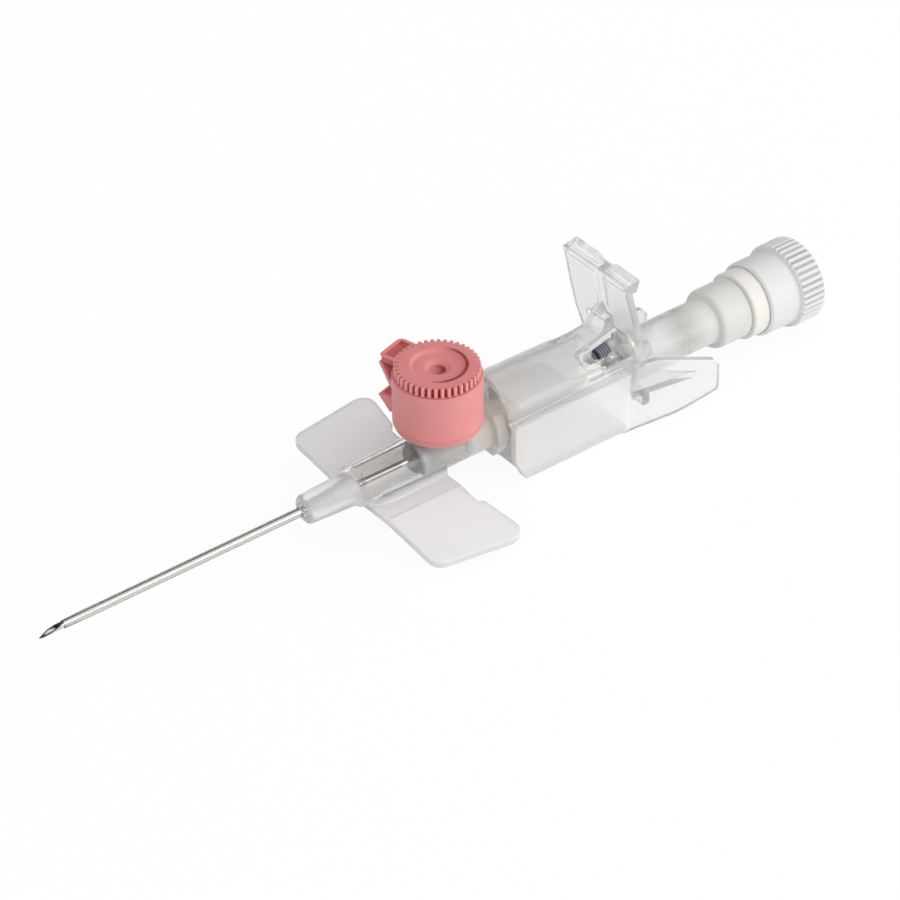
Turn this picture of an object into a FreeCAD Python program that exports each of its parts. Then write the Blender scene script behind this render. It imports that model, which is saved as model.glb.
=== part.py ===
"""Ported, winged over-the-needle safety cannula with its needle, grip and plug.

Frame: X runs along the needle towards the rear, Z points up along the injection
port, and the origin is on the needle axis at the front face of the hub nose.
All sizes are in millimetres.
"""
import FreeCAD, Part
import math
import os

V = FreeCAD.Vector
X_AXIS = V(1, 0, 0)
Y_AXIS = V(0, 1, 0)
Z_AXIS = V(0, 0, 1)
ORIGIN = V(0, 0, 0)

# Fits, clearances and working values
running_gap = 0.03
seat_gap = 0.05
swing_gap = 0.2
overlap = 0.2
beyond = 10.0
round_share = 1 - math.sqrt(0.5)

# Catheter tube
tube_length = 32.0
tube_radius = 0.55
tube_bore = 0.43
tube_tip_radius = 0.47
tube_tip_taper = 3.0
tube_flare_lead = 0.3
tube_flare_length = 1.7
tube_flare_rise = 0.14
tube_grip_length = 2.4
tube_grip_rise = 0.08

# Steel wedge that holds the tube in the nose
wedge_wall = 0.12
wedge_mouth_radius = 1.35
wedge_length = 5.35

# Hub moulding
nose_front_radius = 1.76
nose_rear_radius = 2.02
nose_round = 0.45
nose_length = 6.4
step_length = 0.5
barrel_front_radius = 2.46
barrel_mid_radius = 2.7
barrel_mid_x = 15.0
socket_radius = 2.62
socket_length = 5.5
hub_length = 27.0
barrel_bore = 1.88
barrel_bore_step = 0.6
socket_mouth_bore = 2.16
socket_depth = 4.0
socket_taper = 0.03
lug_radius = 3.65
lug_length = 1.4
lug_setback = 0.9
lug_half_height = 2.7

# Keel under the barrel and the two wings
keel_front_x = 8.0
keel_rear_x = 18.3
keel_half_width = 2.6
keel_bottom = 3.0
keel_front_round = 2.2
keel_rear_round = 0.3
wing_root_z = -2.3
wing_root_inner_y = 0.5
wing_root_thickness = 0.65
wing_thickness = 0.9
fold_y = 5.3
wing_root_front_x = 7.6
wing_outer_front_x = 8.2
wing_front_reach = 13.5
wing_rear_reach = 15.1
wing_outer_rear_x = 20.3
wing_inner_rear_x = 18.85
wing_notch_x = 18.1
wing_notch_y = 8.3
wing_notch_run = 0.3
wing_notch_round = 0.14
wing_fold_step = 0.1
wing_corner_round = 1.7
near_wing_droop = 12.0
far_wing_droop = -2.0

# Cap collar
port_setback = 8.11
collar_radius = 5.14
collar_bottom = 3.85
collar_top = 10.12
collar_wall = 0.8
collar_floor = 0.9
collar_edge = 0.1
collar_foot_inset = 0.19
collar_foot_height = 0.5
collar_sleeve_wall = 0.65
collar_sleeve_drop = 1.2

# Injection port
port_radius = 2.9
port_bore = 2.1
port_drop = 0.9
port_floor_wall = 0.78
port_throat = 1.4
port_seat_radius = 3.5

# Silicone valve sleeve
valve_radius = 2.0
valve_bore = 1.5
valve_length = 7.8
valve_chamfer = 0.25

# Hinge strap and lug on the side of the collar
ear_angle = 106.0
ear_half_width = 2.0
strap_thickness = 0.5
strap_foot_drop = 2.4
strap_tip_inset = 0.35
strap_tip_outset = 0.15
knuckle_room = 0.12
lug_reach = 1.85
lug_top_drop = 4.3
lug_height = 2.1
lug_tip_round = 0.15
lug_wall = 0.55
lug_pocket_depth = 1.4
lug_pocket_lip = 0.35

# Cap lid
lid_radius = 4.89
lid_root_radius = 4.42
lid_height = 1.23
lid_teeth = 40
lid_recess_radius = 3.15
lid_recess_slope = 0.35
lid_recess_depth = 0.35
dimple_radius = 0.95
dimple_draft = 0.1
dimple_depth = 1.1
countersink_radius = 1.5
countersink_depth = 0.35
lid_pad_radius = 2.75
lid_pad_edge = 0.2
lid_pad_gap = 0.1
lid_rim_wall = 0.4
lid_rim_depth = 0.9
hinge_outset = 1.46
hinge_lift = 0.53
knuckle_radius = 0.35
ear_thickness = 0.6
ear_root = 0.6
ear_rim_width = 0.4
ear_corner_round = 0.7
ear_rim_height = 0.25
ear_well_depth = 0.15

# Needle
needle_radius = 0.39
needle_bore = 0.27
needle_lead = 3.1
needle_seat_length = 3.9
bevel_angle = 14.5
lancet_angle = 21.0
lancet_turn = 32.0

# Needle shield
shield_gap = 1.2
shield_length = 7.6
shield_half_width = 2.8
shield_half_height = 2.9
shield_round = 0.7
shield_nose_length = 4.4
shield_nose_edge = 0.25
shield_neck_round = 0.3
shield_bore = 0.5
pocket_front = 2.0
pocket_half_width = 1.6
pocket_half_height = 2.0

# Spring clip inside the shield
clip_thickness = 0.2
clip_half_width = 1.2
clip_half_height = 1.6
clip_arm_draft = 0.1
clip_setback = 0.5
clip_front_gap = 1.0
clip_shoulder = 1.2
clip_lip_gap = 0.1
clip_lip_length = 0.5
clip_bend = 0.3

# Needle grip: canopy over a box of two walls and a floor
grip_lap = 1.1
canopy_length = 13.8
canopy_front_radius = 4.75
canopy_rear_radius = 4.55
canopy_wall = 0.8
canopy_z = 1.35
box_length = 16.5
box_half_width = 5.15
box_wall = 0.9
box_bottom = 6.0
box_edge_round = 0.7
floor_setback = 2.1
ledge_front_z = 2.4
ledge_rear_z = 2.8
ledge_thickness = 0.8
chin_z = -2.7
chin_round = 1.6
chin_foot_x = 1.5
chin_foot_height = 0.2
chin_run = 4.6
window_length = 2.4
window_half_crest = 1.4
window_sill_front = 4.2
window_sill_rear = 3.4
curb_front = 3.5
curb_width = 0.6
curb_lead = 0.9

# Needle grip: finger plates with their inner rails and the saddle between them
plate_lap = 0.6
plate_length = 12.9
plate_flare = 8.7
plate_wall = 0.9
plate_level_length = 4.5
plate_top_round = 4.0
plate_shoulder_length = 0.8
plate_shoulder_z = 0.1
plate_tip_top = -0.8
plate_tip_bottom = -4.3
plate_tip_slant = -0.1
plate_tip_round = 0.6
plate_belly_length = 7.5
plate_belly_rise = 0.4
plate_belly_round = 6.0
rail_setback = 1.2
rail_length = 8.4
rail_level_length = 5.0
rail_z = -1.9
rail_thickness = 0.8
rail_root = 0.3
saddle_setback = 2.4
saddle_thickness = 0.9
saddle_foot_rise = 2.6

# Needle grip: leaning thumb flange
flange_setback = 2.7
flange_foot_z = 1.9
flange_lean = 0.225
flange_thickness = 0.9
flange_top = 15.3
flange_half_width = 5.5
flange_waist = 5.75
flange_waist_low_z = 5.9
flange_waist_low_round = 2.0
flange_waist_high_z = 9.9
flange_waist_high_round = 3.0
flange_corner_round = 0.3
lip_length = 1.4
lip_depth = 1.5
lip_slant = 0.4
lip_fall = 0.4
lip_round = 0.3
lip_top_inset = 0.1
lip_dip = 0.5
lip_dip_half_width = 1.0
lip_dip_run = 0.6
lip_dip_round = 0.3
rib_bottom = 8.0
rib_half_width = 0.55
rib_length = 1.5
gusset_lead = 1.3
gusset_rise = 0.55
gusset_round = 2.0
gusset_sink = 0.05
arch_top = 6.35
arch_top_half_width = 4.55
arch_top_round = 1.5
arch_foot_half_width = 4.85

# Needle hub with the flash chamber
hub_tube_lead = 0.4
hub_tube_radius = 2.85
hub_tube_wall = 0.5
hub_tube_length = 13.3
hub_front_wall = 1.0
hub_boss_radius = 1.0
hub_boss_front = 1.4
hub_boss_depth = 4.7
chamber_radius = 3.7
chamber_length = 4.4
chamber_wall = 0.6
chamber_round = 0.6
pad_half_width = 1.0
pad_bottom = 1.2
pad_rim = 0.9
pad_round = 0.6

# Small dark coil on the peg of the needle hub
coil_z = 3.0
coil_tilt = 12.7
coil_setback = 1.0
coil_radius = 0.62
coil_wire_radius = 0.13
coil_turns = 5.0
coil_pitch = 0.4
peg_radius = 0.42
peg_spare = 0.25

# Filter housing and filter behind the flash chamber
housing_radius = 4.15
housing_length = 2.3
housing_edge = 0.15
housing_spigot_length = 2.6
housing_bore = 2.15
housing_ledge = 0.1
filter_length = 1.5

# White lock plug
plug_skirt_radius = 4.6
plug_skirt_length = 4.4
plug_skirt_overlap = 0.1
plug_skirt_edge = 0.25
plug_grip_radius = 5.18
plug_grip_root = 4.82
plug_grip_length = 3.5
plug_grip_front_edge = 0.15
plug_grip_rear_edge = 0.35
plug_ribs = 40
plug_wall = 0.9
plug_nose_length = 2.0
plug_nose_edge = 0.2
plug_recess_radius = 3.4
plug_recess_depth = 0.5
plug_vent_radius = 0.4

# Places that follow from the sizes above
tube_wall = tube_radius - tube_bore
flare_end_x = tube_flare_length - tube_flare_lead
tube_end_x = flare_end_x + tube_grip_length
wedge_start_radius = tube_bore + tube_flare_rise
wedge_grip_radius = wedge_start_radius + tube_grip_rise
wedge_start_x = flare_end_x + seat_gap
wedge_mouth_x = wedge_start_x + wedge_length
nose_face_radius = tube_radius + tube_flare_rise * tube_flare_lead / tube_flare_length
barrel_start_x = nose_length + step_length
socket_start_x = hub_length - socket_length
socket_bottom_bore = socket_mouth_bore - socket_taper * socket_depth
lug_front_x = hub_length - lug_setback - lug_length
port_x = hub_length - port_setback
grip_front_x = hub_length - grip_lap
needle_tip_x = -tube_length - needle_lead
collar_foot_z = collar_bottom - collar_foot_height
collar_bore = port_radius + running_gap
port_top = collar_top - port_drop
port_floor_z = socket_bottom_bore + port_floor_wall
valve_front_x = port_x - valve_length / 2
valve_rear_x = valve_front_x + valve_length
hinge_reach = collar_radius + hinge_outset
hinge_z = collar_top + hinge_lift
ear_inner = math.sqrt(collar_radius ** 2 - ear_half_width ** 2) - overlap
lid_start = collar_top + seat_gap
lid_top = collar_top + lid_height
shield_front_x = hub_length + shield_gap
shield_rear_x = shield_front_x + shield_length
shield_nose_x = shield_front_x - shield_nose_length
pocket_front_x = shield_front_x + pocket_front
canopy_rear_x = grip_front_x + canopy_length
window_front_x = canopy_rear_x - window_length
ledge_inner_y = canopy_rear_radius - canopy_wall
box_rear_x = grip_front_x + box_length
floor_front_x = grip_front_x + floor_setback
plate_rise = math.tan(math.radians(plate_flare))
rail_front_x = box_rear_x + rail_setback
rail_rear_x = rail_front_x + rail_length
saddle_front_x = box_rear_x + saddle_setback
flange_foot_x = box_rear_x + flange_setback
curb_rear_x = flange_foot_x - curb_lead
flange_top_x = flange_foot_x - flange_lean * (flange_top - flange_foot_z)
hub_tube_front_x = flange_foot_x - hub_tube_lead
hub_tube_rear_x = hub_tube_front_x + hub_tube_length
hub_boss_front_x = hub_tube_front_x - hub_boss_front
hub_boss_rear_x = hub_tube_front_x + hub_boss_depth
chamber_rear_x = hub_tube_rear_x + chamber_length
needle_rear_x = hub_tube_front_x + needle_seat_length
coil_length = coil_turns * coil_pitch + 2 * coil_wire_radius
peg_length = coil_setback + coil_length + peg_spare
housing_front_x = chamber_rear_x + seat_gap
housing_rear_x = housing_front_x + housing_length
spigot_front_x = housing_front_x - housing_spigot_length
plug_front_x = housing_rear_x - plug_skirt_overlap
plug_grip_x = plug_front_x + plug_skirt_length
plug_rear_x = plug_grip_x + plug_grip_length


def turned(outline, axis=X_AXIS, centre=ORIGIN):
    """Solid of revolution from (along, radius) corners about an X or Z axis."""
    across = Z_AXIS if axis == X_AXIS else X_AXIS
    points = [centre + axis * along + across * radius for along, radius in outline]
    points.append(points[0])
    return Part.Face(Part.makePolygon(points)).revolve(centre, axis, 360)


def rounded_wire(corners, place):
    """Closed wire through (u, v, radius) corners, with an arc at each radius above 0."""
    count = len(corners)
    edges = []
    last_end = None
    first_start = None
    for index in range(count):
        u, v, radius = corners[index]
        here = V(u, v, 0)
        before = V(corners[index - 1][0], corners[index - 1][1], 0)
        after = V(corners[(index + 1) % count][0], corners[(index + 1) % count][1], 0)
        to_before = (before - here).normalize()
        to_after = (after - here).normalize()
        if radius > 0:
            half = to_before.getAngle(to_after) / 2
            run = radius / math.tan(half)
            start = here + to_before * run
            end = here + to_after * run
            bisector = (to_before + to_after).normalize()
            middle = here + bisector * (radius / math.sin(half) - radius)
        else:
            start = here
            end = here
        if last_end is not None and (start - last_end).Length > 1e-7:
            edges.append(Part.LineSegment(place(last_end), place(start)).toShape())
        if radius > 0:
            edges.append(Part.Arc(place(start), place(middle), place(end)).toShape())
        if first_start is None:
            first_start = start
        last_end = end
    if (first_start - last_end).Length > 1e-7:
        edges.append(Part.LineSegment(place(last_end), place(first_start)).toShape())
    return Part.Wire(edges)


def plan(z):
    """Placer for outlines drawn in X and Y at one height."""
    return lambda point: V(point.x, point.y, z)


def side(y):
    """Placer for outlines drawn in X and Z at one Y."""
    return lambda point: V(point.x, y, point.y)


def front(x):
    """Placer for outlines drawn in Y and Z at one X."""
    return lambda point: V(x, point.x, point.y)


def slab(corners, place, depth):
    """Flat piece with rounded corners, extruded by a vector."""
    return Part.Face(rounded_wire(corners, place)).extrude(depth)


def slice_across(corners, half_width):
    """Piece with a side outline in X and Z, as wide on each side of the middle plane."""
    return slab(corners, side(-half_width), V(0, 2 * half_width, 0))


def both_sides(corners):
    """Closed outline in Y and Z from its right-hand half, given from the bottom up."""
    left = [(-y, z, radius) for y, z, radius in corners]
    right = [(y, z, radius) for y, z, radius in reversed(corners) if y != 0]
    return left + right


def block(x0, x1, y0, y1, z0, z1):
    """Box between two corners."""
    return Part.makeBox(x1 - x0, y1 - y0, z1 - z0, V(x0, y0, z0))


def rod(radius, start_x, end_x, z=0):
    """Cylinder along X."""
    return Part.makeCylinder(radius, end_x - start_x, V(start_x, 0, z), X_AXIS)


def fused(shapes):
    """One solid from overlapping pieces, with leftover seams removed."""
    whole = shapes[0].multiFuse(shapes[1:])
    return whole.removeSplitter()


def mirrored(shape):
    """The same piece on the other side of the XZ plane."""
    return shape.mirror(ORIGIN, Y_AXIS)


def toothed(root_radius, tip_radius, count, length, centre, axis):
    """Knurled disc: root, rising flank, tip and falling flank in each pitch."""
    pitch = 2 * math.pi / count
    corners = ((0.0, root_radius), (0.16, root_radius), (0.38, tip_radius), (0.78, tip_radius))
    points = []
    for index in range(count):
        for share, radius in corners:
            angle = (index + share) * pitch
            across = radius * math.cos(angle)
            along = radius * math.sin(angle)
            if axis == Z_AXIS:
                points.append(centre + V(across, along, 0))
            else:
                points.append(centre + V(0, across, along))
    points.append(points[0])
    return Part.Face(Part.makePolygon(points)).extrude(axis * length)


def in_ear_frame(shape):
    """Turn a piece drawn along +X from the port axis to the direction of the ears."""
    placed = shape.copy()
    placed.rotate(ORIGIN, Z_AXIS, ear_angle)
    placed.translate(V(port_x, 0, 0))
    return placed


def nose_bore(extra):
    """Outline of the tapering bore of the nose, made larger by a clearance."""
    return [
        (0, nose_face_radius + extra),
        (flare_end_x, wedge_start_radius + tube_wall + extra),
        (tube_end_x, wedge_grip_radius + tube_wall + extra),
        (wedge_mouth_x, wedge_mouth_radius + extra),
    ]


def make_catheter_tube():
    outer = [
        (-tube_length, tube_tip_radius),
        (tube_tip_taper - tube_length, tube_radius),
        (-tube_flare_lead, tube_radius),
        (flare_end_x, wedge_start_radius + tube_wall),
        (tube_end_x, wedge_grip_radius + tube_wall),
    ]
    inner = [
        (tube_end_x, wedge_grip_radius),
        (flare_end_x, wedge_start_radius),
        (-tube_flare_lead, tube_bore),
        (-tube_length, tube_bore),
    ]
    return turned(outer + inner)


def make_catheter_wedge():
    lip = tube_end_x + seat_gap
    lip_radius = wedge_grip_radius + tube_wall - running_gap
    return turned([
        (wedge_start_x, wedge_start_radius - running_gap),
        (lip, wedge_grip_radius - running_gap),
        (lip, lip_radius),
        (wedge_mouth_x, wedge_mouth_radius - running_gap),
        (wedge_mouth_x, wedge_mouth_radius - wedge_wall),
        (lip, wedge_grip_radius - wedge_wall),
        (wedge_start_x, wedge_start_radius - wedge_wall),
    ])


def wing(droop, sign):
    """Flat root strip and a panel bent down along the fold line."""
    root = block(wing_root_front_x, wing_notch_x, wing_root_inner_y, fold_y + overlap,
                 wing_root_z - wing_root_thickness / 2, wing_root_z + wing_root_thickness / 2)
    inner_y = fold_y - overlap
    outline = [
        (wing_root_front_x + wing_fold_step, inner_y, 0),
        (wing_outer_front_x, wing_front_reach, wing_corner_round),
        (wing_outer_rear_x, wing_rear_reach, wing_corner_round),
        (wing_inner_rear_x, wing_notch_y + wing_notch_run / 2, wing_notch_round),
        (wing_notch_x, wing_notch_y - wing_notch_run / 2, wing_notch_round),
        (wing_notch_x - wing_fold_step, inner_y, 0),
    ]
    low = wing_root_z - wing_thickness / 2
    panel = slab(outline, plan(low), V(0, 0, wing_thickness))
    panel.rotate(V(0, fold_y, wing_root_z), X_AXIS, -droop)
    both = root.fuse(panel)
    return both if sign > 0 else mirrored(both)


def make_catheter_hub():
    outside = turned([
        (0, 0),
        (0, nose_front_radius - nose_round),
        (nose_round * round_share, nose_front_radius - nose_round * round_share),
        (nose_round, nose_front_radius),
        (nose_length, nose_rear_radius),
        (barrel_start_x, barrel_front_radius),
        (barrel_mid_x, barrel_mid_radius),
        (socket_start_x, socket_radius),
        (hub_length, socket_radius),
        (hub_length, 0),
    ])
    lug_ring = rod(lug_radius, lug_front_x, lug_front_x + lug_length)
    lug_band = block(lug_front_x, lug_front_x + lug_length, -lug_radius, lug_radius,
                     -lug_half_height, lug_half_height)
    lugs = lug_ring.common(lug_band)
    keel = slab([
        (keel_front_x, -keel_half_width, keel_front_round),
        (keel_rear_x, -keel_half_width, keel_rear_round),
        (keel_rear_x, keel_half_width, keel_rear_round),
        (keel_front_x, keel_half_width, keel_front_round),
    ], plan(-keel_bottom), V(0, 0, keel_bottom))
    port_foot = V(port_x, 0, 0)
    spigot = Part.makeCylinder(port_radius, port_top, port_foot, Z_AXIS)
    seat = Part.makeCylinder(port_seat_radius, collar_foot_z, port_foot, Z_AXIS)
    solid = fused([outside, lugs, keel, spigot, seat,
                   wing(near_wing_droop, -1), wing(far_wing_droop, 1)])
    bore = nose_bore(running_gap) + [
        (wedge_mouth_x + barrel_bore_step, barrel_bore),
        (valve_front_x, barrel_bore),
        (valve_front_x, socket_bottom_bore),
        (hub_length - socket_depth, socket_bottom_bore),
        (hub_length, socket_mouth_bore),
    ]
    port_hole = Part.makeCylinder(port_bore, port_top - port_floor_z,
                                  V(port_x, 0, port_floor_z), Z_AXIS)
    throat = Part.makeCylinder(port_throat, port_top, port_foot, Z_AXIS)
    solid = solid.cut(turned([(0, 0)] + bore + [(hub_length, 0)]))
    return solid.cut(port_hole).cut(throat)


def make_port_valve():
    start = valve_front_x + seat_gap
    return turned([
        (start, valve_bore + valve_chamfer),
        (start, valve_radius - valve_chamfer),
        (start + valve_chamfer, valve_radius),
        (valve_rear_x - valve_chamfer, valve_radius),
        (valve_rear_x, valve_radius - valve_chamfer),
        (valve_rear_x, valve_bore),
        (start + valve_chamfer, valve_bore),
    ])


def make_cap_collar():
    sleeve_radius = collar_bore + collar_sleeve_wall
    sleeve_top = collar_top - collar_sleeve_drop
    foot_radius = collar_radius - collar_foot_inset
    shell = turned([
        (collar_foot_z + seat_gap, collar_bore),
        (collar_foot_z + seat_gap, foot_radius),
        (collar_bottom, foot_radius),
        (collar_bottom, collar_radius - collar_edge),
        (collar_bottom + collar_edge, collar_radius),
        (collar_top, collar_radius),
        (collar_top, collar_radius - collar_wall),
        (collar_bottom + collar_floor, collar_radius - collar_wall),
        (collar_bottom + collar_floor, sleeve_radius),
        (sleeve_top, sleeve_radius),
        (sleeve_top, collar_bore),
    ], Z_AXIS, V(port_x, 0, 0))
    foot_z = collar_top - strap_foot_drop
    tip_z = hinge_z - knuckle_radius - knuckle_room
    strap = slice_across([
        (ear_inner, foot_z, 0),
        (ear_inner, foot_z - strap_thickness, 0),
        (collar_radius, foot_z - strap_thickness, 0),
        (hinge_reach + strap_tip_outset, tip_z, 0),
        (hinge_reach - strap_tip_inset, tip_z, 0),
        (collar_radius, foot_z + strap_thickness, 0),
        (ear_inner, foot_z + strap_thickness, 0),
    ], ear_half_width)
    lug_tip = collar_radius + lug_reach
    lug_top = collar_top - lug_top_drop
    lug_bottom = lug_top - lug_height
    lug = slice_across([
        (ear_inner, lug_top, 0),
        (lug_tip, lug_top - collar_edge, lug_tip_round),
        (collar_radius + collar_edge, lug_bottom, 0),
        (ear_inner, lug_bottom + lug_wall, 0),
    ], ear_half_width)
    pocket = slice_across([
        (collar_radius, lug_top + overlap, 0),
        (lug_tip - lug_wall, lug_top + overlap, 0),
        (lug_tip - lug_wall, lug_top - lug_pocket_lip, 0),
        (collar_radius + lug_pocket_lip, lug_top - lug_pocket_depth, 0),
        (collar_radius, lug_top - lug_pocket_depth, 0),
    ], ear_half_width - lug_wall)
    return fused([shell, in_ear_frame(strap), in_ear_frame(lug.cut(pocket))])


def make_cap_lid():
    port_foot = V(port_x, 0, 0)
    disc = toothed(lid_root_radius, lid_radius, lid_teeth, lid_top - lid_start,
                   V(port_x, 0, lid_start), Z_AXIS)
    pad_z = port_top + lid_pad_gap
    pad = turned([
        (pad_z, 0),
        (pad_z, lid_pad_radius - lid_pad_edge),
        (pad_z + lid_pad_edge, lid_pad_radius),
        (lid_start + overlap, lid_pad_radius),
        (lid_start + overlap, 0),
    ], Z_AXIS, port_foot)
    rim_radius = collar_radius - collar_wall - swing_gap
    rim = turned([
        (lid_start - lid_rim_depth, rim_radius - lid_rim_wall),
        (lid_start - lid_rim_depth, rim_radius),
        (lid_start + overlap, rim_radius),
        (lid_start + overlap, rim_radius - lid_rim_wall),
    ], Z_AXIS, port_foot)
    ear_low = hinge_z - ear_thickness / 2
    ear_high = hinge_z + ear_thickness / 2
    ear = slab([
        (lid_root_radius - ear_root, -ear_half_width, 0),
        (hinge_reach, -ear_half_width, ear_corner_round),
        (hinge_reach, ear_half_width, ear_corner_round),
        (lid_root_radius - ear_root, ear_half_width, 0),
    ], plan(ear_low), V(0, 0, ear_high + ear_rim_height - ear_low))
    knuckle_half = ear_half_width - ear_corner_round
    knuckle = Part.makeCylinder(knuckle_radius, 2 * knuckle_half,
                                V(hinge_reach, -knuckle_half, hinge_z), Y_AXIS)
    well_half_width = ear_half_width - ear_rim_width
    well = block(lid_radius, hinge_reach - ear_rim_width, -well_half_width, well_half_width,
                 ear_high - ear_well_depth, ear_high + ear_rim_height + overlap)
    tab = fused([ear, knuckle]).cut(well)
    lid = fused([disc, pad, rim, in_ear_frame(tab)])
    recess_floor = lid_top - lid_recess_depth
    recess = turned([
        (lid_top + overlap, 0),
        (lid_top + overlap, lid_recess_radius),
        (lid_top, lid_recess_radius),
        (recess_floor, lid_recess_radius - lid_recess_slope),
        (recess_floor, countersink_radius),
        (recess_floor - countersink_depth, dimple_radius),
        (lid_top - dimple_depth, dimple_radius - dimple_draft),
        (lid_top - dimple_depth, 0),
    ], Z_AXIS, port_foot)
    return lid.cut(recess)


def make_needle():
    """Steel tube with one long bevel and two steeper lancet facets that meet in the point."""
    tube = turned([
        (needle_tip_x, needle_bore),
        (needle_tip_x, needle_radius),
        (needle_rear_x, needle_radius),
        (needle_rear_x, needle_bore),
    ])
    point = V(needle_tip_x, 0, -needle_radius)
    for slope, turn in ((bevel_angle, 0), (lancet_angle, lancet_turn), (lancet_angle, -lancet_turn)):
        cutter = block(-beyond, beyond, -beyond, beyond, 0, beyond)
        cutter.rotate(ORIGIN, Y_AXIS, -slope)
        cutter.rotate(ORIGIN, X_AXIS, turn)
        cutter.translate(point)
        tube = tube.cut(cutter)
    return tube


def make_shield_body():
    body = slab([
        (-shield_half_width, -shield_half_height, shield_round),
        (shield_half_width, -shield_half_height, shield_round),
        (shield_half_width, shield_half_height, shield_round),
        (-shield_half_width, shield_half_height, shield_round),
    ], front(shield_front_x), V(shield_length, 0, 0))
    mouth = socket_mouth_bore - running_gap
    tip = mouth - socket_taper * (hub_length - shield_nose_x)
    nose = turned([
        (shield_nose_x, 0),
        (shield_nose_x, tip - shield_nose_edge),
        (shield_nose_x + shield_nose_edge, tip),
        (hub_length, mouth),
        (shield_front_x - shield_neck_round, mouth),
        (shield_front_x + overlap, mouth + shield_neck_round),
        (shield_front_x + overlap, 0),
    ])
    bore = rod(shield_bore, shield_nose_x, shield_rear_x)
    pocket = block(pocket_front_x, shield_rear_x + overlap, -pocket_half_width, pocket_half_width,
                   -pocket_half_height, pocket_half_height)
    return fused([body, nose]).cut(bore).cut(pocket)


def make_shield_clip():
    """Spring-steel strip: a back plate with two arms whose lips bear on the needle."""
    back_x = shield_rear_x - clip_setback
    lip_x = pocket_front_x + clip_front_gap
    lip_z = needle_radius + clip_lip_gap
    arm_z = clip_half_height - clip_arm_draft
    arm = slice_across([
        (back_x, clip_half_height, 0),
        (lip_x + clip_shoulder, arm_z, clip_bend),
        (lip_x, lip_z + clip_thickness, clip_bend / 2),
        (lip_x - clip_lip_length, lip_z + clip_thickness, 0),
        (lip_x - clip_lip_length, lip_z, 0),
        (lip_x + clip_thickness / 2, lip_z, clip_bend / 2),
        (lip_x + clip_shoulder + clip_thickness / 2, arm_z - clip_thickness, clip_bend),
        (back_x, clip_half_height - clip_thickness, 0),
    ], clip_half_width)
    lower = arm.mirror(ORIGIN, Z_AXIS)
    back = block(back_x - clip_thickness, back_x, -clip_half_width, clip_half_width,
                 -clip_half_height, clip_half_height)
    hole = rod(lip_z, back_x - clip_thickness - overlap, back_x + overlap)
    return fused([arm, lower, back]).cut(hole)


def sill_z(x):
    """Height of the window's sloping sill and of the curb that carries it on to the flange."""
    run = (x - window_front_x) / (curb_rear_x - window_front_x)
    return window_sill_front + (window_sill_rear - window_sill_front) * run


def make_canopy():
    """Clear half tube over the shield, with a window on each side of its crest at the rear."""
    foot = V(grip_front_x, 0, canopy_z)
    outer = Part.makeCone(canopy_front_radius, canopy_rear_radius, canopy_length, foot, X_AXIS)
    inner = Part.makeCone(canopy_front_radius - canopy_wall, canopy_rear_radius - canopy_wall,
                          canopy_length, foot, X_AXIS)
    below = block(grip_front_x - beyond, canopy_rear_x + beyond, -beyond, beyond,
                  -beyond, ledge_front_z - ledge_thickness)
    dome = outer.cut(inner).cut(below)
    window = slab([
        (window_front_x, window_sill_front, 0),
        (canopy_rear_x + overlap, sill_z(canopy_rear_x + overlap), 0),
        (canopy_rear_x + overlap, beyond, 0),
        (window_front_x, beyond, 0),
    ], side(window_half_crest), V(0, beyond, 0))
    return dome.cut(window).cut(mirrored(window))


def ledge(sign):
    """Strip from the foot of the canopy out to the top of the side wall, with a low curb."""
    depth = V(0, box_half_width - ledge_inner_y, 0)
    strip = slab([
        (grip_front_x, ledge_front_z - ledge_thickness, 0),
        (flange_foot_x, ledge_rear_z - ledge_thickness, 0),
        (flange_foot_x, ledge_rear_z, 0),
        (grip_front_x, ledge_front_z, 0),
    ], side(ledge_inner_y), depth)
    curb = slab([
        (window_front_x, ledge_rear_z - ledge_thickness, 0),
        (curb_rear_x, ledge_rear_z - ledge_thickness, 0),
        (curb_rear_x, window_sill_rear, 0),
        (window_front_x, curb_front, 0),
    ], side(ledge_inner_y - seat_gap), V(0, curb_width, 0))
    both = strip.fuse(curb)
    return both if sign > 0 else mirrored(both)


def make_grip_box():
    """Trough of two side walls and a floor, with a rounded chin at the front."""
    inner_y = box_half_width - box_wall
    trough = slab(both_sides([
        (inner_y, box_wall - box_bottom, 0),
        (inner_y, ledge_rear_z, 0),
        (box_half_width, ledge_rear_z, 0),
        (box_half_width, -box_bottom, box_edge_round),
    ]), front(grip_front_x), V(box_length, 0, 0))
    profile = slice_across([
        (grip_front_x, ledge_front_z, 0),
        (grip_front_x, chin_z, chin_round),
        (grip_front_x + chin_foot_x, chin_foot_height - box_bottom, chin_round),
        (grip_front_x + chin_run, -box_bottom, 0),
        (box_rear_x, -box_bottom, 0),
        (box_rear_x, ledge_rear_z - seat_gap, 0),
    ], box_half_width + overlap)
    gap = block(grip_front_x - overlap, floor_front_x, -inner_y, inner_y,
                -box_bottom - overlap, -box_bottom + box_wall + overlap)
    return trough.common(profile).cut(gap)


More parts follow.
